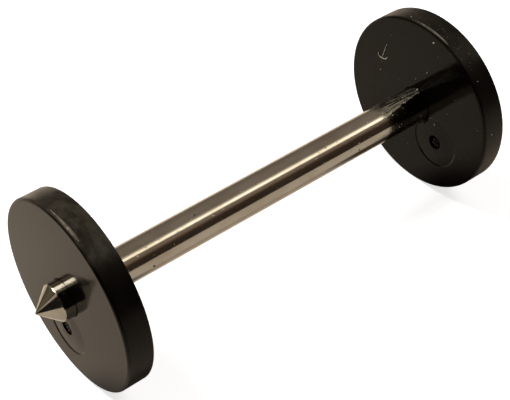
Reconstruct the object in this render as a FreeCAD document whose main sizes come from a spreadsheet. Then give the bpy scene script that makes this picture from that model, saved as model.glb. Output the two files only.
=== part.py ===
import FreeCAD, Part
import os

import Sketcher

# Rolling stock wheelset in millimetres: two plain disc wheels pressed on a steel axle
# whose ends are turned to points. The axle lies along Y, Z is up, and the origin is on
# the axle's centre line, halfway between the wheels. Seen from the +X side the left
# wheel is the one at -Y.

SIZES = {
    # the turned steel axle
    "axle_diameter": 2.0,
    "journal_length": 0.6,         # plain round end between a wheel's face and the point
    "point_length": 1.05,          # from the end of the round part to the blunt tip
    "point_flat": 0.1,             # diameter of the blunt end of each point
    # the moulded wheels, both the same
    "wheel_diameter": 10.4,
    "wheel_width": 1.45,
    "back_to_back": 21.8,          # between the inner faces of the two wheels
    "marked_edge_radius": 0.15,    # rim edge on the side with the moulding marks
    "plain_edge_radius": 0.1,      # rim edge on the other side
    # the place where the plastic entered the mould, on one side of each wheel
    "gate_distance": 2.4,          # from the wheel's centre to the gate's centre
    "gate_recess_diameter": 0.85,
    "gate_recess_depth": 0.3,
    "gate_stub_diameter": 0.42,    # what is left of the broken-off sprue
    "gate_stub_setback": 0.12,     # how far the stub's end lies below the wheel's face
    "ring_diameter": 2.98,         # witness line of the mould's round insert
    "ring_width": 0.06,
    "ring_depth": 0.04,
    # how far each wheel happens to be turned on the axle, in degrees
    "left_wheel_turn": 97.0,
    "right_wheel_turn": 45.0,
}

WHEEL_CENTRE = "(sizes.back_to_back + sizes.wheel_width) / 2"
JOURNAL_END = "(sizes.back_to_back / 2 + sizes.wheel_width + sizes.journal_length)"


def make_sheet(doc):
    """Put every driving size in one sheet, each under its own name."""
    sheet = doc.addObject("Spreadsheet::Sheet", "sizes")
    for row, (alias, value) in enumerate(SIZES.items(), start=1):
        sheet.set("A%d" % row, alias)
        sheet.set("B%d" % row, str(value))
        sheet.setAlias("B%d" % row, alias)
    doc.recompute()
    return sheet


def origin_plane(body, role):
    """Find one of the body's own origin planes."""
    for feature in body.Origin.OriginFeatures:
        if feature.Role == role:
            return feature
    raise RuntimeError("no plane " + role)


def new_sketch(body, name, role, offset=None):
    """Start a sketch on an origin plane, moved along the plane's normal where asked."""
    sketch = body.newObject("Sketcher::SketchObject", name)
    sketch.AttachmentSupport = [(origin_plane(body, role), "")]
    sketch.MapMode = "FlatFace"
    if offset:
        sketch.setExpression("AttachmentOffset.Base.z", offset)
    return sketch


def bind(sketch, constraint, name, expression):
    """Add a named dimension and tie it to the sheet."""
    index = sketch.addConstraint(constraint)
    sketch.renameConstraint(index, name)
    sketch.setExpression("Constraints." + name, expression)


def add_outline(sketch, corners):
    """Draw a closed outline whose corners are tied to the sheet.

    A corner is (name, x, y, x expression, y expression). The plain numbers only say
    where drawing starts, and an expression of None keeps the corner on the centre line.
    """
    count = len(corners)
    for index in range(count):
        start = FreeCAD.Vector(corners[index][1], corners[index][2], 0)
        following = corners[(index + 1) % count]
        end = FreeCAD.Vector(following[1], following[2], 0)
        sketch.addGeometry(Part.LineSegment(start, end), False)
    for index in range(count):
        sketch.addConstraint(
            Sketcher.Constraint("Coincident", index, 2, (index + 1) % count, 1))
    for index, (name, x, y, x_expression, y_expression) in enumerate(corners):
        if x_expression is None:
            sketch.addConstraint(Sketcher.Constraint("PointOnObject", index, 1, -2))
        else:
            bind(sketch, Sketcher.Constraint("DistanceX", -1, 1, index, 1, x),
                 name + "_out", x_expression)
        bind(sketch, Sketcher.Constraint("DistanceY", -1, 1, index, 1, y),
             name + "_along", y_expression)


def add_circle(sketch, name, x, x_expression, diameter, diameter_expression):
    """Draw a circle centred on the sketch's first axis, tied to the sheet."""
    centre = FreeCAD.Vector(x, 0, 0)
    index = sketch.addGeometry(Part.Circle(centre, FreeCAD.Vector(0, 0, 1), diameter / 2), False)
    sketch.addConstraint(Sketcher.Constraint("PointOnObject", index, 3, -1))
    bind(sketch, Sketcher.Constraint("DistanceX", -1, 1, index, 3, x),
         name + "_from_centre", x_expression)
    bind(sketch, Sketcher.Constraint("Diameter", index, diameter), name + "_size",
         diameter_expression)


def revolve(body, name, sketch):
    """Turn a half section once around the centre line."""
    turned = body.newObject("PartDesign::Revolution", name)
    turned.Profile = sketch
    turned.ReferenceAxis = (sketch, ["V_Axis"])
    turned.Angle = 360.0
    return turned


def make_axle(doc):
    """Turn the axle in one piece: a round bar with a point at each end."""
    size = SIZES
    body = doc.addObject("PartDesign::Body", "axle")
    body.Label = "axle"
    radius = size["axle_diameter"] / 2
    shoulder = size["back_to_back"] / 2 + size["wheel_width"] + size["journal_length"]
    tip = shoulder + size["point_length"]
    blunt = size["point_flat"] / 2
    shoulder_expression = JOURNAL_END
    tip_expression = JOURNAL_END + " + sizes.point_length"
    radius_expression = "sizes.axle_diameter / 2"
    blunt_expression = "sizes.point_flat / 2"
    section = new_sketch(body, "axle_section", "XY_Plane")
    add_outline(section, [
        ("left_end", 0, -tip, None, "-(" + tip_expression + ")"),
        ("left_blunt", blunt, -tip, blunt_expression, "-(" + tip_expression + ")"),
        ("left_shoulder", radius, -shoulder, radius_expression, "-" + shoulder_expression),
        ("right_shoulder", radius, shoulder, radius_expression, shoulder_expression),
        ("right_blunt", blunt, tip, blunt_expression, tip_expression),
        ("right_end", 0, tip, None, tip_expression),
    ])
    revolve(body, "axle_turned", section)
    return body


def rim_edge(shape, diameter, along):
    """Name the round edge of the given diameter that lies at the given place along Y."""
    for index, edge in enumerate(shape.Edges, start=1):
        curve = edge.Curve
        if not isinstance(curve, Part.Circle):
            continue
        same_size = abs(curve.Radius - diameter / 2) < 1e-6
        if same_size and abs(curve.Center.y - along) < 1e-6:
            return "Edge%d" % index
    raise RuntimeError("no rim edge at %g" % along)


def round_edge(doc, body, name, base, along, radius):
    """Round one edge of the rim."""
    doc.recompute()
    fillet = body.newObject("PartDesign::Fillet", name)
    fillet.Base = (base, [rim_edge(base.Shape, SIZES["wheel_diameter"], along)])
    fillet.setExpression("Radius", "sizes." + radius)
    return fillet


def cut_face(doc, body, name, circles, depth):
    """Cut a round or ring-shaped recess into the marked face of a wheel."""
    sketch = new_sketch(body, name + "_outline", "XZ_Plane", "sizes.wheel_width / 2")
    for circle_name, diameter, diameter_expression in circles:
        add_circle(sketch, circle_name, SIZES["gate_distance"], "sizes.gate_distance",
                   diameter, diameter_expression)
    doc.recompute()
    before = body.Shape.Volume
    pocket = body.newObject("PartDesign::Pocket", name)
    pocket.Profile = sketch
    pocket.setExpression("Length", depth)
    doc.recompute()
    if pocket.Shape.Volume >= before:
        raise RuntimeError(name + " cuts nothing")
    return pocket


def make_wheel(doc, label, side, turn):
    """Mould one wheel about its own centre and press it on the axle.

    Each wheel is the same moulding, with its marked face towards -Y on either end of
    the axle, and its bore takes the axle's own diameter because it is a press fit.
    """
    size = SIZES
    body = doc.addObject("PartDesign::Body", label)
    body.Label = label
    bore = size["axle_diameter"] / 2
    rim = size["wheel_diameter"] / 2
    half = size["wheel_width"] / 2
    bore_expression = "sizes.axle_diameter / 2"
    rim_expression = "sizes.wheel_diameter / 2"
    half_expression = "sizes.wheel_width / 2"
    section = new_sketch(body, label + "_section", "XY_Plane")
    add_outline(section, [
        ("bore_marked", bore, -half, bore_expression, "-" + half_expression),
        ("rim_marked", rim, -half, rim_expression, "-" + half_expression),
        ("rim_plain", rim, half, rim_expression, half_expression),
        ("bore_plain", bore, half, bore_expression, half_expression),
    ])
    disc = revolve(body, label + "_disc", section)
    marked = round_edge(doc, body, label + "_marked_edge", disc, -half, "marked_edge_radius")
    round_edge(doc, body, label + "_plain_edge", marked, half, "plain_edge_radius")

    stub = size["gate_stub_diameter"]
    recess = size["gate_recess_diameter"]
    ring_inside = size["ring_diameter"] - size["ring_width"]
    ring_outside = size["ring_diameter"] + size["ring_width"]
    cut_face(doc, body, label + "_gate_mouth",
             [("mouth", recess, "sizes.gate_recess_diameter")], "sizes.gate_stub_setback")
    cut_face(doc, body, label + "_gate_recess",
             [("recess", recess, "sizes.gate_recess_diameter"),
              ("stub", stub, "sizes.gate_stub_diameter")], "sizes.gate_recess_depth")
    cut_face(doc, body, label + "_witness_ring",
             [("inside", ring_inside, "sizes.ring_diameter - sizes.ring_width"),
              ("outside", ring_outside, "sizes.ring_diameter + sizes.ring_width")],
             "sizes.ring_depth")

    body.Placement.Rotation = FreeCAD.Rotation(FreeCAD.Vector(0, 1, 0), size[turn])
    body.setExpression("Placement.Rotation.Angle", "sizes." + turn)
    body.setExpression("Placement.Base.y", side + WHEEL_CENTRE)
    return body


def check_document(doc, bodies):
    """Stop if any feature failed or any piece has no sound solid."""
    for item in doc.Objects:
        if "Invalid" in item.State or "Error" in item.State:
            raise RuntimeError("%s failed: %s" % (item.Name, item.State))
    for body in bodies:
        shape = body.Shape
        if shape.isNull() or not shape.isValid() or len(shape.Solids) != 1:
            raise RuntimeError(body.Label + " has no sound solid")


def write_parts(bodies):
    """Write each piece to a file of its own and report its size."""
    os.makedirs("parts", exist_ok=True)
    for body in bodies:
        body.Shape.exportStep("parts/" + body.Label + ".step")
        box = body.Shape.BoundBox
        print("%-12s volume %8.3f mm3, x %.3f to %.3f, y %.3f to %.3f, z %.3f to %.3f" % (
            body.Label, body.Shape.Volume, box.XMin, box.XMax, box.YMin, box.YMax,
            box.ZMin, box.ZMax))


def main():
    doc = FreeCAD.newDocument("wheelset")
    make_sheet(doc)
    bodies = [
        make_axle(doc),
        make_wheel(doc, "left_wheel", "-", "left_wheel_turn"),
        make_wheel(doc, "right_wheel", "", "right_wheel_turn"),
    ]
    doc.recompute()
    check_document(doc, bodies)
    write_parts(bodies)


main()
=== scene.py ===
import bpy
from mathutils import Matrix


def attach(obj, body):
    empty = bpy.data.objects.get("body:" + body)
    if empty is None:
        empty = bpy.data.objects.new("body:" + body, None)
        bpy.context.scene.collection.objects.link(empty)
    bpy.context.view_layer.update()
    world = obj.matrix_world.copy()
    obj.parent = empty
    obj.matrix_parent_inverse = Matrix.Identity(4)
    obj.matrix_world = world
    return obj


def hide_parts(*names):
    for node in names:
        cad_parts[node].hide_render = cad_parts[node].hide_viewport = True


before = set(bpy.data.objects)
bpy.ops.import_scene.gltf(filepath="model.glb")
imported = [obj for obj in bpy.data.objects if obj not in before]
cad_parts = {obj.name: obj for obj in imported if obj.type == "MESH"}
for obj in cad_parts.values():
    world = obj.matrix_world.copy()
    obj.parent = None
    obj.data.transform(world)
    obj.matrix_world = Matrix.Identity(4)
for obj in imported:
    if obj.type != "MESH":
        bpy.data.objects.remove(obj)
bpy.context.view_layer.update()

import math
import random

import bmesh
import bpy
from mathutils import Matrix, Vector

# Plain disc wheels on a steel axle with turned points. All sizes below are millimetres
# unless a note says otherwise, and mm turns them into metres.
mm = 0.001
scene = bpy.context.scene


def newObject(name, data):
    item = bpy.data.objects.new(name, data)
    scene.collection.objects.link(item)
    return item


def dropObject(item):
    data = item.data
    bpy.data.objects.remove(item)
    if isinstance(data, bpy.types.Mesh):
        bpy.data.meshes.remove(data)


# places one node, sets its options and feeds its inputs with numbers or other sockets
def addNode(tree, kind, settings, inputs):
    node = tree.nodes.new(kind)
    for key, value in settings.items():
        setattr(node, key, value)
    for key, value in inputs.items():
        if isinstance(value, bpy.types.NodeSocket):
            tree.links.new(value, node.inputs[key])
        else:
            node.inputs[key].default_value = value
    return node


def doMath(tree, operation, *values):
    return addNode(tree, "ShaderNodeMath", {"operation": operation},
                   dict(enumerate(values))).outputs[0]


def remap(tree, value, fromLow, fromHigh, toLow=0.0, toHigh=1.0, soft=False):
    kind = "SMOOTHSTEP" if soft else "LINEAR"
    node = addNode(tree, "ShaderNodeMapRange", {"interpolation_type": kind}, {
        "Value": value, "From Min": fromLow, "From Max": fromHigh,
        "To Min": toLow, "To Max": toHigh})
    return node.outputs["Result"]


def blendColours(tree, factor, first, second):
    node = addNode(tree, "ShaderNodeMix", {"data_type": "RGBA"}, {
        0: factor, 6: first, 7: second})
    return node.outputs[2]


# noise with its own stretch along X, Y and Z, in cycles per millimetre
def addNoise(tree, coords, stretch, detail=2.0, roughness=0.5, distortion=0.0):
    placed = addNode(tree, "ShaderNodeMapping", {}, {"Vector": coords, "Scale": stretch})
    node = addNode(tree, "ShaderNodeTexNoise", {}, {
        "Vector": placed.outputs[0], "Scale": 1.0, "Detail": detail,
        "Roughness": roughness, "Distortion": distortion})
    return node.outputs[0]


# a material with its surface shader and coordinates that count in millimetres
def startMaterial(name):
    material = bpy.data.materials.new(name)
    material.use_nodes = True
    tree = material.node_tree
    shader = tree.nodes["Principled BSDF"]
    where = addNode(tree, "ShaderNodeTexCoord", {}, {})
    scaled = addNode(tree, "ShaderNodeMapping", {}, {
        "Vector": where.outputs["Object"], "Scale": (1 / mm, 1 / mm, 1 / mm)})
    return material, tree, shader, scaled.outputs[0]


# a geometry nodes tree with named inputs, each given as (kind of socket, value)
def startTree(name, inputs):
    tree = bpy.data.node_groups.new(name, "GeometryNodeTree")
    tree.interface.new_socket(name="Geometry", in_out="INPUT",
                              socket_type="NodeSocketGeometry")
    for label, (kind, value) in inputs.items():
        socket = tree.interface.new_socket(name=label, in_out="INPUT",
                                           socket_type="NodeSocket" + kind)
        socket.default_value = value
    tree.interface.new_socket(name="Geometry", in_out="OUTPUT",
                              socket_type="NodeSocketGeometry")
    return tree, tree.nodes.new("NodeGroupInput").outputs


def endTree(tree, geometry, material):
    real = addNode(tree, "GeometryNodeRealizeInstances", {}, {0: geometry})
    coated = addNode(tree, "GeometryNodeSetMaterial", {}, {
        "Geometry": real.outputs[0], "Material": material})
    leave = tree.nodes.new("NodeGroupOutput")
    tree.links.new(coated.outputs[0], leave.inputs[0])


# runs a tree on a starting mesh and gives back one plain mesh with its faces outwards
def runTree(tree, name, startMesh, values):
    item = newObject(name + "_start", startMesh)
    step = item.modifiers.new("made", "NODES")
    step.node_group = tree
    for socket in tree.interface.items_tree:
        if socket.item_type == "SOCKET" and socket.name in values:
            step[socket.identifier] = values[socket.name]
    bpy.context.view_layer.update()
    evaluated = item.evaluated_get(bpy.context.evaluated_depsgraph_get())
    mesh = bpy.data.meshes.new_from_object(evaluated)
    mesh.name = name
    item.modifiers.clear()
    dropObject(item)
    return faceOut(mesh)


def faceOut(mesh):
    form = bmesh.new()
    form.from_mesh(mesh)
    bmesh.ops.recalc_face_normals(form, faces=form.faces)
    form.to_mesh(mesh)
    form.free()
    return mesh


# turns a profile of (radius, place along Y) points once around the Y axis
def turnedMesh(name, profile, segments, closed):
    form = bmesh.new()
    rings = []
    for radius, along in profile:
        if radius < 1e-6:
            rings.append([form.verts.new((0, along * mm, 0))])
            continue
        ring = []
        for step in range(segments):
            angle = 2 * math.pi * step / segments
            ring.append(form.verts.new((radius * math.cos(angle) * mm, along * mm,
                                        radius * math.sin(angle) * mm)))
        rings.append(ring)
    pairs = list(zip(rings, rings[1:]))
    if closed:
        pairs.append((rings[-1], rings[0]))
    for first, second in pairs:
        for step in range(segments):
            after = (step + 1) % segments
            corners = [first[step % len(first)], first[after % len(first)],
                       second[after % len(second)], second[step % len(second)]]
            corners = list(dict.fromkeys(corners))
            if len(corners) > 2:
                form.faces.new(corners)
    bmesh.ops.recalc_face_normals(form, faces=form.faces)
    mesh = bpy.data.meshes.new(name)
    form.to_mesh(mesh)
    form.free()
    return mesh


# points on a rounded corner of a profile, ends included, angles in degrees
def arcPoints(centreRadius, centreAlong, radius, fromAngle, toAngle, steps):
    points = []
    for step in range(steps + 1):
        angle = math.radians(fromAngle + (toAngle - fromAngle) * step / steps)
        points.append((centreRadius + radius * math.cos(angle),
                       centreAlong + radius * math.sin(angle)))
    return points


def smoothShade(mesh, degrees=28.0):
    mesh.shade_smooth()
    mesh.set_sharp_from_angle(angle=math.radians(degrees))


# gives a finished mesh its material, lets it ride, and hides the CAD part it stands in for
def finishPiece(name, mesh, material, nodeName=None):
    item = newObject(name, mesh)
    mesh.materials.clear()
    mesh.materials.append(material)
    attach(item, "root")
    if nodeName:
        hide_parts(nodeName)
    print("made", name, len(mesh.polygons), "faces")


steelLook = {
    "colour": (0.272, 0.268, 0.246, 1),
    "tarnish": (0.205, 0.190, 0.162, 1),
    "scoredAndSheen": (0.36, 0.36, 0.33, 1),   # where the pressed-on wheel has dragged along, painted lighter as sheen
    # the ridge colour paints a glint along the raised burr
    "ridgeGlint": (0.66, 0.64, 0.57, 1),
    # painted shade: the near-black colour of the cuts
    "cutShade": (0.018, 0.016, 0.013, 1),
    "roughness": (0.085, 0.17),
    "scoredStart": (7.8, 8.5),
    "scoredRoughness": (0.40, 0.60),
    "scoredFrom": 67.0,        # its lower edge, in degrees round the axle at 8.77 mm
    "scoredSlant": 7.0,        # and how far that edge climbs in each millimetre
    "coneStart": 12.95,
}


def makeSteel():
    look = steelLook
    material, tree, shader, coords = startMaterial("turnedSteel")
    split = addNode(tree, "ShaderNodeSeparateXYZ", {}, {0: coords})
    along = split.outputs["Y"]
    farOut = doMath(tree, "ABSOLUTE", along)
    around = doMath(tree, "ARCTAN2", split.outputs["Z"], split.outputs["X"])

    drawMarks = addNoise(tree, coords, (7.0, 0.12, 7.0), 3.0, 0.6)
    fineMarks = addNoise(tree, coords, (26.0, 0.5, 26.0), 2.0, 0.6)
    blotches = addNoise(tree, coords, (0.9, 0.35, 0.9), 3.0, 0.6)
    grain = addNoise(tree, coords, (16.0, 9.0, 16.0), 3.0, 0.65)
    scores = addNoise(tree, coords, (15.0, 0.8, 15.0), 4.0, 0.75, 0.6)
    chatter = addNoise(tree, coords, (5.0, 8.0, 5.0), 3.0, 0.7, 0.6)
    flecks = addNoise(tree, coords, (22.0, 7.0, 22.0), 2.0, 0.7)
    rings = addNoise(tree, coords, (0.02, 16.0, 0.02), 2.0, 0.6)
    pits = addNoise(tree, coords, (7.5, 5.0, 7.5), 1.0, 0.5)

    # the scored strip near the right wheel, above a slanted edge with a raised burr
    edge = doMath(tree, "MULTIPLY_ADD", doMath(tree, "SUBTRACT", along, 8.77),
                  -math.radians(look["scoredSlant"]), around)
    edge = doMath(tree, "ADD", edge, remap(tree, chatter, 0.3, 0.7, -0.06, 0.06))
    lower = math.radians(look["scoredFrom"])
    above = remap(tree, edge, lower, lower + 0.05, soft=True)
    ragged = doMath(tree, "ADD", along, remap(tree, scores, 0.3, 0.7, -0.45, 0.45))
    first, last = look["scoredStart"]
    started = remap(tree, ragged, first, last, soft=True)
    scoredAndSheen = doMath(tree, "MULTIPLY", above, started)
    # the raised burr along that edge, which the ridge colour also paints as a glint
    burrAndGlint = doMath(tree, "MULTIPLY", started, doMath(
        tree, "MULTIPLY", remap(tree, edge, lower - 0.08, lower - 0.02, soft=True),
        remap(tree, edge, lower, lower + 0.05, 1.0, 0.0, soft=True)))
    burrAndGlint = doMath(tree, "MULTIPLY", burrAndGlint, remap(tree, flecks, 0.42, 0.58, 0.30, 1.0))
    onCone = remap(tree, farOut, look["coneStart"] - 0.01, look["coneStart"] + 0.02)

    tone = doMath(tree, "MULTIPLY", remap(tree, blotches, 0.40, 0.70),
                  remap(tree, fineMarks, 0.30, 0.70, 0.5, 1.0))
    colour = blendColours(tree, tone, look["colour"], look["tarnish"])
    # painted shade in its cuts, close together towards the top and near the wheel, and a
    # painted glint along the ridge at its edge
    top = remap(tree, edge, lower + 0.30, lower + 0.95, 0.0, 0.16)
    top = doMath(tree, "ADD", top, remap(tree, along, 9.7, 10.7, 0.0, 0.10))
    broken = doMath(tree, "MULTIPLY_ADD", flecks, 0.5, scores)
    cut = remap(tree, doMath(tree, "ADD", broken, top), 0.73, 0.82)
    cut = doMath(tree, "MULTIPLY", scoredAndSheen, cut)
    # painted sheen: the scored strip is coloured lighter than the plain steel
    colour = blendColours(tree, scoredAndSheen, colour, look["scoredAndSheen"])
    colour = blendColours(tree, burrAndGlint, colour, look["ridgeGlint"])
    shader.inputs["Metallic"].default_value = 1.0
    tree.links.new(blendColours(tree, cut, colour, look["cutShade"]),
                   shader.inputs["Base Color"])

    low, high = look["roughness"]
    roughness = remap(tree, grain, 0.35, 0.70, low, high)
    low, high = look["scoredRoughness"]
    scoredRoughness = remap(tree, chatter, 0.35, 0.65, low, high)
    mixed = addNode(tree, "ShaderNodeMix", {"data_type": "FLOAT"},
                    {0: doMath(tree, "MAXIMUM", scoredAndSheen, burrAndGlint), 2: roughness,
                     3: scoredRoughness})
    tree.links.new(mixed.outputs[0], shader.inputs["Roughness"])

    height = doMath(tree, "MULTIPLY_ADD", drawMarks, 0.5,
                    doMath(tree, "MULTIPLY", fineMarks, 0.22))
    rough = doMath(tree, "MULTIPLY_ADD", scores, 9.0, doMath(tree, "MULTIPLY", chatter, 5.0))
    height = doMath(tree, "MULTIPLY_ADD", rough, scoredAndSheen, height)
    height = doMath(tree, "MULTIPLY_ADD", doMath(tree, "MULTIPLY", rings, onCone), 1.4, height)
    height = doMath(tree, "MULTIPLY_ADD", burrAndGlint, 14.0, height)
    height = doMath(tree, "SUBTRACT", height, remap(tree, pits, 0.70, 0.76, 0.0, 4.0))
    bump = addNode(tree, "ShaderNodeBump", {}, {
        "Strength": 0.8, "Distance": 0.0012 * mm, "Height": height})
    tree.links.new(bump.outputs[0], shader.inputs["Normal"])
    return material


plasticLook = {
    "colour": (0.0013, 0.0012, 0.0011, 1),
    "scuffAndSheen": (0.0330, 0.0315, 0.0265, 1),
    "rightScuffAndSheen": 0.20,        # the right wheel has less scuffing and less painted sheen than the left
    "faceRoughness": (0.085, 0.145),
    "treadRoughness": (0.26, 0.40),
    "treadStart": 5.12,        # distance from the axle where the tread's wear begins
    "specular": 0.08,
}


def makePlastic():
    look = plasticLook
    material, tree, shader, coords = startMaterial("glossPlastic")
    flat = addNode(tree, "ShaderNodeVectorMath", {"operation": "MULTIPLY"},
                   {0: coords, 1: (1.0, 0.0, 1.0)})
    reach = addNode(tree, "ShaderNodeVectorMath", {"operation": "LENGTH"},
                    {0: flat.outputs[0]}).outputs["Value"]
    onTread = remap(tree, reach, look["treadStart"], 5.19, soft=True)

    patches = addNoise(tree, coords, (0.55, 1.1, 0.55), 3.0, 0.6, 0.5)
    smears = addNoise(tree, coords, (1.3, 1.9, 1.3), 5.0, 0.6, 0.15)
    specks = addNoise(tree, coords, (9.0, 9.0, 9.0), 3.0, 0.6)
    ripple = addNoise(tree, coords, (0.28, 0.28, 0.28), 1.0, 0.4)
    haze = addNoise(tree, coords, (0.8, 0.8, 0.8), 4.0, 0.7, 0.4)

    # the scuffs, with painted sheen in their paler colour, are on the upper part of the treads
    split = addNode(tree, "ShaderNodeSeparateXYZ", {}, {0: coords})
    upper = remap(tree, split.outputs["Z"], 4.0, 4.75, soft=True)
    side = remap(tree, split.outputs["Y"], -1.0, 1.0, 1.0, look["rightScuffAndSheen"])
    # the scuff mask, which also places the painted sheen
    worn = doMath(tree, "MULTIPLY", remap(tree, smears, 0.40, 0.62, 0.30, 1.0), onTread)
    worn = doMath(tree, "MULTIPLY", worn, doMath(tree, "MULTIPLY", upper, side))
    tree.links.new(blendColours(tree, worn, look["colour"], look["scuffAndSheen"]),
                   shader.inputs["Base Color"])

    low, high = look["faceRoughness"]
    faceRough = remap(tree, haze, 0.35, 0.70, low, high)
    low, high = look["treadRoughness"]
    treadRough = remap(tree, patches, 0.38, 0.62, low, high)
    mixed = addNode(tree, "ShaderNodeMix", {"data_type": "FLOAT"},
                    {0: onTread, 2: faceRough, 3: treadRough})
    tree.links.new(mixed.outputs[0], shader.inputs["Roughness"])
    shader.inputs["IOR"].default_value = 1.5
    shader.inputs["Specular IOR Level"].default_value = look["specular"]

    treadHeight = doMath(tree, "MULTIPLY", onTread, doMath(
        tree, "MULTIPLY_ADD", patches, 0.010, doMath(
            tree, "MULTIPLY_ADD", smears, 0.006, doMath(tree, "MULTIPLY", specks, 0.0010))))
    height = doMath(tree, "MULTIPLY_ADD", ripple, 0.006, treadHeight)
    bump = addNode(tree, "ShaderNodeBump", {}, {
        "Strength": 1.0, "Distance": mm, "Height": height})
    tree.links.new(bump.outputs[0], shader.inputs["Normal"])
    return material


# thin or torn plastic, a little paler than the moulded skin; the flash's pale colour also
# paints the highlight along the rim edges
tornLooks = {
    "flashPlastic": {"colour": (0.070, 0.066, 0.060, 1), "bright": (0.135, 0.127, 0.117, 1),
                     "roughness": (0.30, 0.50)},
    "tornPlastic": {"colour": (0.004, 0.0035, 0.003, 1), "bright": (0.045, 0.037, 0.031, 1),
                    "roughness": (0.25, 0.50)},
}


def makeTornPlastic(name):
    look = tornLooks[name]
    material, tree, shader, coords = startMaterial(name)
    grain = addNoise(tree, coords, (3.0, 3.0, 3.0), 3.0, 0.6)
    amount = remap(tree, grain, 0.40, 0.60)
    tree.links.new(blendColours(tree, amount, look["colour"], look["bright"]),
                   shader.inputs["Base Color"])
    low, high = look["roughness"]
    tree.links.new(remap(tree, grain, 0.35, 0.65, high, low), shader.inputs["Roughness"])
    shader.inputs["Specular IOR Level"].default_value = 0.25
    bump = addNode(tree, "ShaderNodeBump", {}, {
        "Strength": 0.7, "Distance": 0.012 * mm, "Height": grain})
    tree.links.new(bump.outputs[0], shader.inputs["Normal"])
    return material


lintLook = {
    "grey": (0.17, 0.168, 0.160, 1),
    "white": (0.60, 0.60, 0.58, 1),
}


# dust and lint lying on the wheels
def makeLint():
    material, tree, shader, coords = startMaterial("paleLint")
    tone = addNoise(tree, coords, (6.0, 6.0, 6.0), 2.0, 0.6)
    tree.links.new(blendColours(tree, remap(tree, tone, 0.35, 0.65),
                                lintLook["grey"], lintLook["white"]),
                   shader.inputs["Base Color"])
    tree.links.new(remap(tree, tone, 0.3, 0.7, 0.45, 0.75), shader.inputs["Roughness"])
    return material


turnedSteel = makeSteel()
glossPlastic = makePlastic()
tornPlastic = makeTornPlastic("tornPlastic")
flashPlastic = makeTornPlastic("flashPlastic")
paleLint = makeLint()
print("materials ready")


axleSizes = {
    "Rod Radius": 1.0,
    "Shoulder": 12.95,        # where each point begins
    "Tip": 14.0,
    "Blunt Radius": 0.05,     # the blunt end of a point
    "Rounding": 0.025,        # the worn edge between rod and point
    "Rings": 57,
    "Segments": 160,
}
# where the plain rod and the worn edge end, as shares of the rings from the middle out, and
# how much of the rounding the worn edge takes off
axleShares = {"rodEnd": 0.5, "edgeEnd": 0.572, "worn": 0.7}


# The axle is a circle carried along the Y axis. Each ring counts from -1 at one end to 1
# at the other: the first half of the way is plain rod, then comes the worn edge, and
# the rest is the cone.
def makeAxle():
    rodShare, edgeShare, worn = (axleShares[key] for key in ("rodEnd", "edgeEnd", "worn"))
    sizes = {label: ("Int", value) if isinstance(value, int) else ("Float", value * mm)
             for label, value in axleSizes.items()}
    tree, given = startTree("turnedRod", sizes)
    line = addNode(tree, "GeometryNodeCurvePrimitiveLine", {}, {
        "Start": (0, -0.01, 0), "End": (0, 0.01, 0)})
    points = addNode(tree, "GeometryNodeResampleCurve", {}, {
        "Curve": line.outputs[0], "Count": given["Rings"]})
    index = tree.nodes.new("GeometryNodeInputIndex").outputs[0]
    spans = doMath(tree, "SUBTRACT", given["Rings"], 1.0)
    share = doMath(tree, "MULTIPLY_ADD", doMath(tree, "DIVIDE", index, spans), 2.0, -1.0)
    outward = doMath(tree, "ABSOLUTE", share)
    rodEnd = doMath(tree, "SUBTRACT", given["Shoulder"], given["Rounding"])
    coneTop = doMath(tree, "MULTIPLY_ADD", given["Rounding"], worn,
                     given["Shoulder"])
    edgeLoss = doMath(tree, "MULTIPLY", given["Rounding"], worn)
    coneRadius = doMath(tree, "SUBTRACT", given["Rod Radius"], edgeLoss)
    firstPart = remap(tree, outward, 0.0, rodShare, 0.0, rodEnd)
    edgePart = remap(tree, outward, rodShare, edgeShare, 0.0,
                     doMath(tree, "SUBTRACT", coneTop, rodEnd))
    conePart = remap(tree, outward, edgeShare, 1.0, 0.0,
                     doMath(tree, "SUBTRACT", given["Tip"], coneTop))
    reach = doMath(tree, "ADD", firstPart, doMath(tree, "ADD", edgePart, conePart))
    place = doMath(tree, "MULTIPLY", doMath(tree, "SIGN", share), reach)
    spot = addNode(tree, "ShaderNodeCombineXYZ", {}, {"Y": place})
    placed = addNode(tree, "GeometryNodeSetPosition", {}, {
        "Geometry": points.outputs[0], "Position": spot.outputs[0]})
    loss = remap(tree, outward, rodShare, edgeShare, 0.0, edgeLoss, soft=True)
    taper = remap(tree, outward, edgeShare, 1.0, 0.0,
                  doMath(tree, "SUBTRACT", coneRadius, given["Blunt Radius"]))
    radius = doMath(tree, "SUBTRACT", given["Rod Radius"], doMath(tree, "ADD", loss, taper))
    circle = addNode(tree, "GeometryNodeCurvePrimitiveCircle", {}, {
        "Resolution": given["Segments"], "Radius": 1.0})
    rod = addNode(tree, "GeometryNodeCurveToMesh", {}, {
        "Curve": placed.outputs[0], "Profile Curve": circle.outputs[0],
        "Scale": radius, "Fill Caps": True})
    endTree(tree, rod.outputs[0], turnedSteel)
    mesh = runTree(tree, "axle_turned", bpy.data.meshes.new("start"),
                   {label: value for label, (kind, value) in sizes.items()})
    smoothShade(mesh, 12.0)
    finishPiece("axle_turned", mesh, turnedSteel, "axle")


makeAxle()


wheelSizes = {
    "radius": 5.2,
    "bore": 1.0,
    "half": 0.725,            # half the wheel's width
    "centre": 11.625,         # from the middle of the axle to the middle of a wheel
    "markedEdge": 0.15,       # rounding of the rim on the side with the moulding marks
    "plainEdge": 0.1,
    "gateDistance": 2.4,
    "recessRadius": 0.425,
    "recessDepth": 0.30,
    "stubRadius": 0.21,
    "stubSetback": 0.12,
    "ringRadius": 1.49,
    "ringDepth": 0.04,
    "ringWall": 0.07,         # the fine ring's outer wall leans by this much
    "ringRamp": 0.55,         # and its floor climbs back to the face over this much
    "boreBreak": 0.06,        # the fine broken edge of the bore, a dark line round the axle
    "segments": 256,
}
wheelTurns = {"left": (-1, 97.0), "right": (1, 45.0)}   # side along Y, turn in degrees


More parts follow.
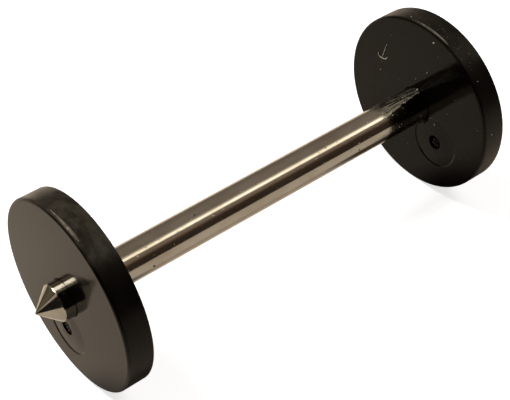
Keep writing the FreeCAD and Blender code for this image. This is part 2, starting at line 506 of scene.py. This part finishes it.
# half section of a wheel about its own centre, the marked face towards -Y
def wheelProfile():
    size = wheelSizes
    radius, half = size["radius"], size["half"]
    marked, plain = size["markedEdge"], size["plainEdge"]
    guard = 0.02
    bore, relief = size["bore"], size["boreBreak"]
    points = [(bore, -half + relief), (bore + relief, -half)]
    points += [(r, -half) for r in (1.6, 3.2, radius - marked - guard)]
    points += arcPoints(radius - marked, -half + marked, marked, -90, 0, 7)
    points += [(radius, -half + marked + guard), (radius, 0.0),
               (radius, half - plain - guard)]
    points += arcPoints(radius - plain, half - plain, plain, 0, 90, 6)
    points += [(r, half) for r in (radius - plain - guard, 3.2, 1.6, bore + relief)]
    points += [(bore, half - relief)]
    return points


# takes the cutters out of a mesh and gives back the result as one plain mesh
def cutWith(item, cutters):
    for cutter in cutters:
        step = item.modifiers.new("cut", "BOOLEAN")
        step.operation = "DIFFERENCE"
        step.solver = "EXACT"
        step.object = cutter
    bpy.context.view_layer.update()
    evaluated = item.evaluated_get(bpy.context.evaluated_depsgraph_get())
    mesh = bpy.data.meshes.new_from_object(evaluated)
    item.modifiers.clear()
    for cutter in cutters:
        dropObject(cutter)
    return mesh


# a ring or plug that stands in the marked face at the gate's place, its walls leaning
# out by so much from its floor up to the face
def makeCutter(name, inside, outside, depth, segments, insideLean=0.0, outsideLean=0.0):
    size = wheelSizes
    face = -size["half"]
    over = 0.03 if outsideLean else 0.3
    reach = 1 + over / depth
    profile = [(max(inside - insideLean * reach, 0), face - over),
               (outside + outsideLean * reach, face - over),
               (outside, face + depth), (inside, face + depth)]
    mesh = turnedMesh(name, profile, segments, inside > 0)
    mesh.transform(Matrix.Translation((size["gateDistance"] * mm, 0, 0)))
    return newObject(name, mesh)


def wheelPlace(side):
    direction, turn = wheelTurns[side]
    place = Matrix.Translation((0, direction * wheelSizes["centre"] * mm, 0))
    return place @ Matrix.Rotation(math.radians(turn), 4, "Y")


def makeWheel(side):
    size = wheelSizes
    blank = newObject("blank", turnedMesh("blank", wheelProfile(), size["segments"], True))
    mesh = cutWith(blank, [
        makeCutter("mouth", 0, size["recessRadius"], size["stubSetback"], 48),
        makeCutter("recess", size["stubRadius"], size["recessRadius"] + 0.0001,
                   size["recessDepth"], 48),
        makeCutter("ring", size["ringRadius"] - 0.05, size["ringRadius"] - 0.03,
                   size["ringDepth"], 144, size["ringRamp"], size["ringWall"]),
    ])
    dropObject(blank)
    mesh.transform(wheelPlace(side))
    smoothShade(mesh)
    finishPiece(side + "_wheel_moulded", mesh, glossPlastic,
                side + "_wheel")


for sideName in wheelTurns:
    makeWheel(sideName)


stubLook = {
    "rings": 6, "spokes": 22,
    "low": -0.05, "high": 0.10,     # how far the torn end rises or falls from the stub's
    "foot": 0.12, "crown": 0.05,     # its outline's depth, and how far its middle rises
    "wide": 1.3,                     # it spreads wider than the stub it broke from
    "spread": 0.07,                  # how ragged its outline is
    "shifts": {"left": (0.05, -0.02), "right": (0.07, -0.03)},   # to one side, along X and Z
    "seeds": {"left": 11, "right": 4},
}


# the torn end of the broken-off sprue, a ragged cap on the stub inside the recess
def makeStub(side):
    look, size = stubLook, wheelSizes
    chance = random.Random(look["seeds"][side])
    level = -size["half"] + size["stubSetback"]
    form = bmesh.new()
    rings = []
    outline = [1 + chance.uniform(-1, 1) * look["spread"] / size["stubRadius"]
               for spoke in range(look["spokes"])]
    for ring in range(1, look["rings"] + 1):
        share = ring / look["rings"]
        corners = []
        for spoke in range(look["spokes"]):
            angle = 2 * math.pi * (spoke + chance.uniform(-0.2, 0.2)) / look["spokes"]
            ragged = 1 + (outline[spoke] - 1) * share
            reach = size["stubRadius"] * look["wide"] * share * ragged
            rise = chance.uniform(look["low"], look["high"])
            corners.append(form.verts.new((
                (size["gateDistance"] + reach * math.cos(angle)) * mm,
                (level - rise) * mm, reach * math.sin(angle) * mm)))
        rings.append(corners)
    foot = [form.verts.new((corner.co.x, (level + look["foot"]) * mm, corner.co.z))
            for corner in rings[-1]]
    rings.append(foot)
    top = form.verts.new((size["gateDistance"] * mm, (level - look["crown"]) * mm, 0))
    for spoke in range(look["spokes"]):
        after = (spoke + 1) % look["spokes"]
        form.faces.new((top, rings[0][spoke], rings[0][after]))
        for inner, outer in zip(rings, rings[1:]):
            form.faces.new((inner[spoke], outer[spoke], outer[after], inner[after]))
    form.faces.new(foot)
    bmesh.ops.recalc_face_normals(form, faces=form.faces)
    mesh = bpy.data.meshes.new(side + "_gate_stub")
    form.to_mesh(mesh)
    form.free()
    mesh.transform(wheelPlace(side))
    x, z = look["shifts"][side]
    mesh.transform(Matrix.Translation((x * mm, 0, z * mm)))
    finishPiece(side + "_gate_stub", mesh, tornPlastic)


for sideName in wheelTurns:
    makeStub(sideName)


# thin plastic squeezed out along part of each marked edge, its pale colour partly a painted
# highlight: places round the wheel in degrees
flashPieces = {
    "left_rim_flash": {
        "Along": -12.16, "Start": 99.0, "Sweep": -29.5, "Bead": 0.066, "Widen": 1.4,
        "Thin End": 0.3, "Seed": 3},
    "right_rim_flash": {
        "Along": 11.06, "Start": 105.0, "Sweep": -37.0, "Bead": 0.050, "Widen": 1.2,
        "Thin End": 0.4, "Seed": 8},
}
flashSizes = {"Rim Radius": 5.175, "Waver": 0.007, "Steps": 120}


def makeFlashTree():
    tree, given = startTree("rimFlash", {
        "Rim Radius": ("Float", 0.005), "Bead": ("Float", 0.0001), "Waver": ("Float", 0.0),
        "Steps": ("Int", 60), "Along": ("Float", 0.0), "Start": ("Float", 0.0),
        "Sweep": ("Float", 1.0), "Widen": ("Float", 1.0), "Thin End": ("Float", 1.0),
        "Seed": ("Float", 0.0)})
    arc = addNode(tree, "GeometryNodeCurveArc", {"mode": "RADIUS"}, {
        "Resolution": given["Steps"], "Radius": given["Rim Radius"],
        "Start Angle": given["Start"], "Sweep Angle": given["Sweep"]})
    place = addNode(tree, "ShaderNodeCombineXYZ", {}, {"Y": given["Along"]})
    stood = addNode(tree, "GeometryNodeTransform", {}, {
        "Geometry": arc.outputs[0], "Translation": place.outputs[0],
        "Rotation": (math.pi / 2, 0, 0)})
    share = addNode(tree, "GeometryNodeSplineParameter", {}, {}).outputs["Factor"]
    noise = addNode(tree, "ShaderNodeTexNoise", {"noise_dimensions": "1D"}, {
        "W": doMath(tree, "MULTIPLY_ADD", share, 16.0, given["Seed"]),
        "Scale": 1.0, "Detail": 4.0, "Roughness": 0.7})
    waver = doMath(tree, "MULTIPLY", remap(tree, noise.outputs[0], 0.3, 0.7, -1.0, 1.0),
                   given["Waver"])
    thick = doMath(tree, "MULTIPLY", remap(tree, share, 0.0, 0.6, given["Thin End"], 1.0),
                   remap(tree, share, 0.80, 1.0, 1.0, 0.35, soft=True))
    bead = doMath(tree, "MULTIPLY_ADD", thick, given["Bead"], waver)
    circle = addNode(tree, "GeometryNodeCurvePrimitiveCircle", {}, {
        "Resolution": 10, "Radius": 1.0})
    spread = addNode(tree, "ShaderNodeCombineXYZ", {}, {
        "X": given["Widen"], "Y": 1.0, "Z": 1.0})
    oval = addNode(tree, "GeometryNodeTransform", {}, {
        "Geometry": circle.outputs[0], "Scale": spread.outputs[0]})
    strip = addNode(tree, "GeometryNodeCurveToMesh", {}, {
        "Curve": stood.outputs[0], "Profile Curve": oval.outputs[0],
        "Scale": bead, "Fill Caps": True})
    endTree(tree, strip.outputs[0], flashPlastic)
    return tree


flashTree = makeFlashTree()
for pieceName, values in flashPieces.items():
    sizes = {label: value if label == "Steps" else value * mm
             for label, value in flashSizes.items()}
    sizes.update({
        "Along": values["Along"] * mm, "Start": math.radians(values["Start"]),
        "Sweep": math.radians(values["Sweep"]), "Thin End": values["Thin End"],
        "Bead": values["Bead"] * mm, "Widen": values["Widen"],
        "Seed": float(values["Seed"])})
    mesh = runTree(flashTree, pieceName, bpy.data.meshes.new("start"), sizes)
    smoothShade(mesh, 60.0)
    finishPiece(pieceName, mesh, flashPlastic)


def onFace(x, z, along):
    return (x, along, z)


def onRound(angle, along, radius):
    turn = math.radians(angle)
    return (radius * math.cos(turn), along, radius * math.sin(turn))


# dust and grit, dark specks of painted pit shade and a pale speck of painted glint: where each
# kind lies, and how big its grains are
dustPieces = {
    "right_face_grit": {
        "places": [onFace(1.58, -0.48, 10.89), onFace(0.82, 4.63, 10.89)],
        "Size": 0.058, "Smallest": 0.8, "Stretch": 1.2, "Seed": 2, "material": "lint"},
    "right_face_dust": {
        "places": [onFace(-2.07, -0.83, 10.89), onFace(0.57, 2.5, 10.89),
                   onFace(-2.9, 0.72, 10.89), onFace(-0.2, 1.65, 10.89)],
        "Size": 0.034, "Smallest": 0.6, "Stretch": 1.4, "Seed": 5, "material": "lint"},
    "right_tread_dust": {
        "places": [(5.14, 11.4, 0.83), (-1.25, 11.21, 5.05)],
        "Size": 0.037, "Smallest": 0.7, "Stretch": 1.5, "Seed": 7, "material": "lint"},
    "right_tread_grit": {
        "places": [(3.76, 11.32, 3.6), (0.44, 11.66, 5.18), (2.1, 11.61, 4.76),
                   (2.58, 11.75, 4.51), (0.9, 11.5, 5.12), (1.6, 11.9, 4.95)],
        "Size": 0.045, "Smallest": 0.2, "Stretch": 2.4, "Seed": 12, "material": "flash"},
    "bore_burr": {
        "places": [onRound(angle, 10.89, 1.07) for angle in (-62, -55, -47, -38, -28, -14, -2)],
        "Size": 0.10, "Smallest": 0.45, "Stretch": 1.5, "Seed": 9, "material": "plastic"},
    # painted shade: dark specks where the axle has small pits
    "axle_pit_shade": {
        "places": [(0.46, -9.44, 0.89), (0.21, -4.76, 0.98), (0.42, 3.76, 0.91),
                   (1.0, -7.88, 0.03), (1.0, 5.7, 0.09)],
        "Size": 0.05, "Smallest": 0.6, "Stretch": 1.8, "Seed": 6, "material": "torn"},
    # painted highlight: a pale speck for the glint where the axle meets the right wheel
    "bore_glint_speck": {
        "places": [(0.05, 10.86, 1.04)],
        "Size": 0.07, "Smallest": 1.0, "Stretch": 1.3, "Seed": 1, "material": "lint"},
}
dustMaterials = {
    "lint": (paleLint, "wheel_plastic"), "plastic": (glossPlastic, "wheel_plastic"),
    "torn": (tornPlastic, "axle_steel"), "flash": (flashPlastic, "wheel_plastic"),
}
# the fine dust: what each kind has unless its own row says otherwise
fineDust = {"Size": 0.012, "Smallest": 0.3, "Stretch": 1.5, "angles": (0, 360),
            "material": "lint"}
# how many grains, and between which radii, places along Y and angles they lie
scatter = {
    "left_face_fine": {"count": 26, "radii": (1.4, 5.0), "along": (-12.345, -12.345),
                       "Seed": 21},
    "right_face_fine": {"count": 44, "radii": (1.3, 5.0), "along": (10.895, 10.895),
                        "Seed": 22},
    "treads_fine": {"count": 26, "radii": (5.198, 5.198), "along": (11.2, 12.2),
                    "angles": (20, 130), "Seed": 23, "material": "flash"},
    "right_tread_specks": {"count": 46, "radii": (5.195, 5.195), "along": (11.06, 11.6),
                           "angles": (50, 112), "Size": 0.020, "Stretch": 3.0, "Seed": 24,
                           "material": "flash"},
}


# one grain is a lumpy ball, turned and sized at random on each of the given points
def makeDustTree():
    tree, given = startTree("dustGrains", {
        "Size": ("Float", 0.0001), "Smallest": ("Float", 0.5), "Stretch": ("Float", 1.0),
        "Seed": ("Int", 0)})
    ball = addNode(tree, "GeometryNodeMeshIcoSphere", {}, {
        "Radius": 1.0, "Subdivisions": 2})
    turn = addNode(tree, "FunctionNodeRandomValue", {"data_type": "FLOAT_VECTOR"}, {
        1: (2 * math.pi, 2 * math.pi, 2 * math.pi), "Seed": given["Seed"]})
    turned = addNode(tree, "FunctionNodeEulerToRotation", {}, {0: turn.outputs[0]})
    share = addNode(tree, "FunctionNodeRandomValue", {"data_type": "FLOAT"}, {
        2: given["Smallest"], 3: 1.0, "Seed": given["Seed"]})
    size = doMath(tree, "MULTIPLY", share.outputs[1], given["Size"])
    scale = addNode(tree, "ShaderNodeCombineXYZ", {}, {
        "X": doMath(tree, "MULTIPLY", size, given["Stretch"]), "Y": size,
        "Z": doMath(tree, "MULTIPLY", size, 0.75)})
    grains = addNode(tree, "GeometryNodeInstanceOnPoints", {}, {
        "Points": given["Geometry"], "Instance": ball.outputs[0],
        "Rotation": turned.outputs[0], "Scale": scale.outputs[0]})
    solid = addNode(tree, "GeometryNodeRealizeInstances", {}, {0: grains.outputs[0]})
    noise = addNode(tree, "ShaderNodeTexNoise", {}, {"Scale": 14000.0, "Detail": 1.0})
    lump = addNode(tree, "ShaderNodeVectorMath", {"operation": "SUBTRACT"}, {
        0: noise.outputs["Color"], 1: (0.5, 0.5, 0.5)})
    push = addNode(tree, "ShaderNodeVectorMath", {"operation": "SCALE"}, {
        0: lump.outputs[0], "Scale": given["Size"]})
    lumpy = addNode(tree, "GeometryNodeSetPosition", {}, {
        "Geometry": solid.outputs[0], "Offset": push.outputs[0]})
    endTree(tree, lumpy.outputs[0], paleLint)
    return tree


dustTree = makeDustTree()


def makeDust(name, places, values):
    start = bpy.data.meshes.new("start")
    start.from_pydata([tuple(part * mm for part in place) for place in places], [], [])
    mesh = runTree(dustTree, name, start, {
        "Size": values["Size"] * mm, "Smallest": values["Smallest"],
        "Stretch": values["Stretch"], "Seed": values["Seed"]})
    smoothShade(mesh, 60.0)
    material, slotName = dustMaterials[values["material"]]
    finishPiece(name, mesh, material)


for pieceName, values in dustPieces.items():
    makeDust(pieceName, values["places"], values)
for pieceName, own in scatter.items():
    values = {**fineDust, **own}
    chance = random.Random(values["Seed"])
    places = []
    for grain in range(values["count"]):
        low, high = values["radii"]
        radius = math.sqrt(chance.uniform(low ** 2, high ** 2))
        places.append(onRound(chance.uniform(*values["angles"]),
                              chance.uniform(*values["along"]), radius))
    makeDust(pieceName, places, values)


# a bit of lint on the right wheel's inner face, as (x, z) points
lint = {
    "along": 10.87, "thickness": 0.021,
    "strands": [
        [(-2.55, 2.68), (-2.64, 2.42), (-2.70, 2.15), (-2.76, 1.92), (-2.84, 1.66)],
        [(-3.17, 1.76), (-3.13, 1.60), (-2.98, 1.56), (-2.80, 1.57), (-2.65, 1.62),
         (-2.50, 1.70), (-2.43, 1.88)],
    ],
}


def makeLintPiece():
    curve = bpy.data.curves.new("lint", "CURVE")
    curve.dimensions = "3D"
    curve.bevel_depth = lint["thickness"] * mm
    curve.bevel_resolution = 3
    curve.use_fill_caps = True
    curve.resolution_u = 8
    for strand in lint["strands"]:
        spline = curve.splines.new("NURBS")
        spline.points.add(len(strand) - 1)
        for point, (x, z) in zip(spline.points, strand):
            point.co = (x * mm, lint["along"] * mm, z * mm, 1)
        spline.order_u = 3
        spline.use_endpoint_u = True
    item = newObject("lint_start", curve)
    bpy.context.view_layer.update()
    mesh = bpy.data.meshes.new_from_object(
        item.evaluated_get(bpy.context.evaluated_depsgraph_get()))
    dropObject(item)
    finishPiece("lint_strand", faceOut(mesh), paleLint)


makeLintPiece()
print("pieces ready")


stageLook = {
    "floorColour": (0.84, 0.83, 0.82, 1),
    "floorLift": 0.72,        # lifts the floor to white where the camera sees it
    "floorSeen": (0.70, 0.79, 0.98, 1),   # and a cooler paper there, so its shadow is grey
    "floorTint": (1.0, 1.0, 1.0, 1),
    "mirrorLift": 0.30,       # and a little where the part mirrors it
    "mirrorTint": (1.0, 0.72, 0.50, 1),
    "horizon": (0.31, 0.24, 0.19, 1),
    "ambient": (0.54, 0.44, 0.34, 1),
    "shade": (0.030, 0.026, 0.022, 1),    # the dark room towards the front
    "wall": (0.40, 0.33, 0.20, 1),        # its wall, over towards -X
    "window": (1.15, 0.95, 0.78, 1),      # and a narrow light beside that wall
    "floorSize": 3.0,         # metres
    "sheetEnds": (26.0, -52.0, -8.0),     # where the paper ends for the mirrors, in mm
    "tableRise": 0.2,         # the table's height above the paper, in mm
    "wood": (0.030, 0.025, 0.020, 1),
    "woodDark": (0.015, 0.012, 0.010, 1),
}
# the wheels' contact shadows as the mirrors show them: their X, the middle between them and
# the distance from there along Y, how far each reaches, and the paper's colour in them
contact = {
    "x": 3.2, "middle": 0.5, "apart": 10.5, "wide": 3.3, "long": 4.5,
    "edge": (0.45, 1.15), "colour": (0.20, 0.17, 0.14, 1),
}


# 0 inside the contact shadows and 1 well outside them
def outsideContact(tree, coords):
    split = addNode(tree, "ShaderNodeSeparateXYZ", {}, {0: coords})
    across = doMath(tree, "SUBTRACT", split.outputs["X"], contact["x"])
    fromMiddle = doMath(tree, "ABSOLUTE", doMath(
        tree, "SUBTRACT", split.outputs["Y"], contact["middle"]))
    beside = doMath(tree, "SUBTRACT", fromMiddle, contact["apart"])
    spot = addNode(tree, "ShaderNodeCombineXYZ", {}, {
        "X": doMath(tree, "DIVIDE", across, contact["wide"]),
        "Y": doMath(tree, "DIVIDE", beside, contact["long"])})
    reach = addNode(tree, "ShaderNodeVectorMath", {"operation": "LENGTH"},
                    {0: spot.outputs[0]}).outputs["Value"]
    inner, outer = contact["edge"]
    return remap(tree, reach, inner, outer, soft=True)


def makeFloor():
    look = stageLook
    half = look["floorSize"] / 2
    level = -wheelSizes["radius"] * mm
    mesh = bpy.data.meshes.new("floor")
    mesh.from_pydata([(-half, -half, level), (half, -half, level),
                      (half, half, level), (-half, half, level)], [], [(0, 1, 2, 3)])
    material, tree, shader, coords = startMaterial("palePaper")
    grain = addNoise(tree, coords, (0.5, 0.5, 0.5), 3.0, 0.6)
    base = look["floorColour"]
    darker = tuple(part * 0.98 for part in base[:3]) + (1,)
    paper = blendColours(tree, grain, base, darker)
    shader.inputs["Roughness"].default_value = 0.95
    shader.inputs["Specular IOR Level"].default_value = 0.0
    path = addNode(tree, "ShaderNodeLightPath", {}, {})
    mirrored = doMath(tree, "MAXIMUM", path.outputs["Is Glossy Ray"],
                      path.outputs["Is Transmission Ray"])
    seen = path.outputs["Is Camera Ray"]
    clear = outsideContact(tree, coords)
    shadowed = doMath(tree, "MULTIPLY", mirrored, doMath(tree, "SUBTRACT", 1.0, clear))
    paper = blendColours(tree, seen, paper, look["floorSeen"])
    tree.links.new(blendColours(tree, shadowed, paper, contact["colour"]),
                   shader.inputs["Base Color"])
    mirrored = doMath(tree, "MULTIPLY", mirrored, clear)
    tree.links.new(blendColours(tree, mirrored, look["floorTint"], look["mirrorTint"]),
                   shader.inputs["Emission Color"])
    seen = doMath(tree, "MULTIPLY", seen, look["floorLift"])
    tree.links.new(doMath(tree, "MULTIPLY_ADD", mirrored, look["mirrorLift"], seen),
                   shader.inputs["Emission Strength"])
    floor = newObject("floor", mesh)
    mesh.materials.append(material)


# beyond the paper the table is dark, which the points and the rim edges mirror
def makeTable():
    look = stageLook
    level = (look["tableRise"] - wheelSizes["radius"]) * mm
    edge = look["floorSize"] / 2
    right, front, side = (part * mm for part in look["sheetEnds"])
    mesh = bpy.data.meshes.new("darkTable")
    mesh.from_pydata(
        [(-edge, -edge, level), (edge, -edge, level), (edge, front, level),
         (-edge, front, level), (right, front, level), (right, side, level),
         (edge, side, level)], [], [(0, 1, 2, 4, 3), (4, 2, 6, 5)])
    material, tree, shader, coords = startMaterial("darkWood")
    grain = addNoise(tree, coords, (0.1, 0.02, 0.1), 2.0, 0.6)
    tree.links.new(blendColours(tree, grain, look["wood"], look["woodDark"]),
                   shader.inputs["Base Color"])
    shader.inputs["Roughness"].default_value = 0.9
    shader.inputs["Specular IOR Level"].default_value = 0.0
    table = newObject("darkTable", mesh)
    mesh.materials.append(material)
    table.visible_camera = False
    table.visible_shadow = False


def makeWorld():
    look = stageLook
    world = bpy.data.worlds.new("studio")
    scene.world = world
    world.use_nodes = True
    tree = world.node_tree
    background = tree.nodes["Background"]
    where = addNode(tree, "ShaderNodeTexCoord", {}, {})
    split = addNode(tree, "ShaderNodeSeparateXYZ", {}, {0: where.outputs["Generated"]})
    side, across, rise = (split.outputs[axis] for axis in "XYZ")
    low = remap(tree, rise, 0.70, 0.55, soft=True)
    patch = addNoise(tree, where.outputs["Generated"], (7.0, 7.0, 3.0), 2.0, 0.6)
    wall = doMath(tree, "MULTIPLY", remap(tree, side, -0.24, -0.36, soft=True),
                  remap(tree, rise, -0.05, 0.34, 0.45, 1.0))
    wall = doMath(tree, "MULTIPLY", wall, remap(tree, patch, 0.35, 0.65, 0.6, 1.0))
    window = doMath(tree, "MULTIPLY", remap(tree, side, -0.27, -0.19, soft=True),
                    remap(tree, side, -0.02, -0.10, soft=True))
    dark = blendColours(tree, doMath(tree, "MULTIPLY", wall, low), look["shade"],
                        look["wall"])
    window = doMath(tree, "MULTIPLY", window, doMath(
        tree, "MULTIPLY", low, remap(tree, across, -0.6, -0.75, soft=True)))
    dark = blendColours(tree, window, dark, look["window"])
    bright = blendColours(tree, remap(tree, rise, 0.0, 0.75), look["horizon"],
                          look["ambient"])
    turned = doMath(tree, "MULTIPLY_ADD", side, -0.25, across)
    tree.links.new(blendColours(tree, remap(tree, turned, -0.22, 0.02, soft=True),
                                dark, bright), background.inputs["Color"])
    background.inputs["Strength"].default_value = 1.0


# axes of a panel seen from the object at an angle in the XZ plane, and so far along Y
def aimAxes(angle, alongPart):
    across = math.sqrt(1 - alongPart ** 2)
    turn = math.radians(angle)
    outward = Vector((across * math.cos(turn), alongPart, across * math.sin(turn)))
    first = Vector((-math.sin(turn), 0, math.cos(turn)))
    second = outward.cross(first)
    return first, second, outward


# panels: the angle in the XZ plane, the share along Y, sizes in metres
lamps = {
    "softbox": {"angle": 73.0, "alongPart": 0.465, "distance": 1.35, "width": 0.315,
                "length": 0.66, "radiance": 3.95, "colour": (1.0, 0.89, 0.71)},
    "softboxEdge": {"angle": 84.5, "alongPart": 0.465, "distance": 1.36, "width": 0.22,
                    "length": 0.66, "radiance": 0.9, "colour": (1.0, 0.89, 0.71)},
    # the brightest one, over on the left wheel's side, and its dimmer surroundings
    "keyLamp": {"angle": 120.0, "alongPart": -0.31, "distance": 1.35, "width": 0.56,
                "length": 0.22, "radiance": 36.0, "colour": (1.0, 0.89, 0.73)},
    "keySkirt": {"angle": 99.0, "alongPart": -0.31, "distance": 1.36, "width": 0.40,
                 "length": 0.26, "radiance": 2.6, "colour": (1.0, 0.82, 0.58)},
    "keyWall": {"angle": 150.0, "alongPart": -0.31, "distance": 1.36, "width": 0.80,
                "length": 0.26, "radiance": 1.3, "colour": (1.0, 0.74, 0.48)},
}
# a card that only the reflections see: sizes in metres, and its glow at the bottom, at a
# share of the height and at the top
cards = {
    "farCard": {"angle": 25.5, "alongPart": 0.465, "distance": 1.05, "height": 0.957,
                "length": 1.26, "glow": (0.08, 0.10, 0.62), "middle": 0.62,
                "tint": (1.0, 0.67, 0.45, 1)},
}


def makeLights():
    for name, panel in lamps.items():
        first, second, outward = aimAxes(panel["angle"], panel["alongPart"])
        lamp = bpy.data.lights.new(name, "AREA")
        lamp.shape = "RECTANGLE"
        lamp.size = panel["width"]
        lamp.size_y = panel["length"]
        lamp.energy = panel["radiance"] * math.pi * panel["width"] * panel["length"]
        lamp.color = panel["colour"]
        item = newObject(name, lamp)
        turn = Matrix((first, second, outward)).transposed().to_4x4()
        item.matrix_world = Matrix.Translation(outward * panel["distance"]) @ turn


def makeCard(name, card):
    first, second, outward = aimAxes(card["angle"], card["alongPart"])
    centre = outward * card["distance"]
    up = first * card["height"] / 2
    side = second * card["length"] / 2
    mesh = bpy.data.meshes.new(name)
    mesh.from_pydata([centre - up - side, centre - up + side,
                      centre + up + side, centre + up - side], [], [(0, 1, 2, 3)])
    material, tree, shader, coords = startMaterial(name + "Paper")
    split = addNode(tree, "ShaderNodeSeparateXYZ", {}, {0: coords})
    low = (centre - up).z / mm
    high = (centre + up).z / mm
    middle = low + card["middle"] * (high - low)
    bottom, half, top = card["glow"]
    glow = remap(tree, split.outputs["Z"], low, middle, bottom, half)
    glow = doMath(tree, "ADD", glow, remap(tree, split.outputs["Z"], middle, high, 0.0,
                                           top - half, soft=True))
    shader.inputs["Base Color"].default_value = (0, 0, 0, 1)
    shader.inputs["Specular IOR Level"].default_value = 0.0
    shader.inputs["Emission Color"].default_value = card["tint"]
    tree.links.new(glow, shader.inputs["Emission Strength"])
    item = newObject(name, mesh)
    mesh.materials.append(material)
    item.visible_camera = False
    item.visible_shadow = False


camera = {
    "azimuth": 50.6894, "elevation": 42.7665,    # degrees
    "distance": 66.37, "across": -0.5522, "above": -0.6807,
    "lens": 36 * 1277.30 / 510,
}


def makeCamera():
    around = math.radians(camera["azimuth"])
    raised = math.radians(camera["elevation"])
    back = Vector((math.sin(around) * math.cos(raised), -math.cos(around) * math.cos(raised),
                   math.sin(raised)))
    right = Vector((math.cos(around), math.sin(around), 0))
    up = back.cross(right)
    data = bpy.data.cameras.new("camera")
    data.sensor_width = 36
    data.lens = camera["lens"]
    data.clip_start = 0.001
    item = newObject("camera", data)
    place = back * camera["distance"] + right * camera["across"] + up * camera["above"]
    turn = Matrix((right, up, back)).transposed().to_4x4()
    item.matrix_world = Matrix.Translation(place * mm) @ turn
    scene.camera = item


makeFloor()
makeTable()
makeWorld()
makeLights()
for cardName, card in cards.items():
    makeCard(cardName, card)
makeCamera()
scene.view_settings.view_transform = "Standard"
print("stage, light and camera ready")
